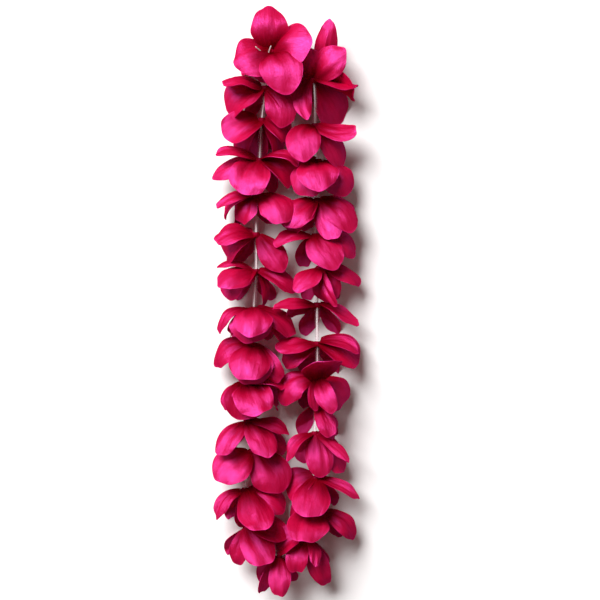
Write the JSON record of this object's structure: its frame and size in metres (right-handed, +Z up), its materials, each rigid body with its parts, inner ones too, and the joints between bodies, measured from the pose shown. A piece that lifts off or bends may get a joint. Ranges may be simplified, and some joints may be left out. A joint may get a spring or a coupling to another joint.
{
  "type": "flower lei",
  "caption": "Flower lei laid flat as a long narrow loop: blooms of broad soft petals strung on one closed thread, each held off the next by a clear spacer tube.",
  "frame": {"origin": "on the surface that the lei lies on, under the middle of its bounding box", "axes": "+Y along the loop towards its top, where the thread is tied; +X to the right as seen from above; +Z up from the surface"},
  "size_m": [0.1343, 0.5292, 0.0616],
  "materials": {
    "petal": "soft, faintly ribbed, hot pink",
    "spacer": "clear, thin-walled",
    "thread": "twisted white cotton"
  },
  "bodies": {
    "root": {"bloom_bottom": "petal", "bloom_left_01": "petal", "bloom_left_02": "petal", "bloom_left_03": "petal", "bloom_left_04": "petal", "bloom_left_05": "petal", "bloom_left_06": "petal", "bloom_left_07": "petal", "bloom_left_08": "petal", "bloom_left_09": "petal", "bloom_left_10": "petal", "bloom_left_11": "petal", "bloom_left_12": "petal", "bloom_left_13": "petal", "bloom_right_01": "petal", "bloom_right_02": "petal", "bloom_right_03": "petal", "bloom_right_04": "petal", "bloom_right_05": "petal", "bloom_right_06": "petal", "bloom_right_07": "petal", "bloom_right_08": "petal", "bloom_right_09": "petal", "bloom_right_10": "petal", "bloom_right_11": "petal", "bloom_right_12": "petal", "bloom_right_13": "petal", "bloom_right_14": "petal", "bloom_top": "petal", "spacer_after_left_01": "spacer", "spacer_after_left_02": "spacer", "spacer_after_left_03": "spacer", "spacer_after_left_04": "spacer", "spacer_after_left_05": "spacer", "spacer_after_left_06": "spacer", "spacer_after_left_07": "spacer", "spacer_after_left_08": "spacer", "spacer_after_left_09": "spacer", "spacer_after_left_10": "spacer", "spacer_after_left_11": "spacer", "spacer_after_left_12": "spacer", "spacer_after_left_13": "spacer", "spacer_after_right_01": "spacer", "spacer_after_right_02": "spacer", "spacer_after_right_03": "spacer", "spacer_after_right_04": "spacer", "spacer_after_right_05": "spacer", "spacer_after_right_06": "spacer", "spacer_after_right_07": "spacer", "spacer_after_right_08": "spacer", "spacer_after_right_09": "spacer", "spacer_after_right_10": "spacer", "spacer_after_right_11": "spacer", "spacer_after_right_12": "spacer", "spacer_after_right_13": "spacer", "spacer_after_right_14": "spacer", "thread": "thread"}
  },
  "joints": []
}
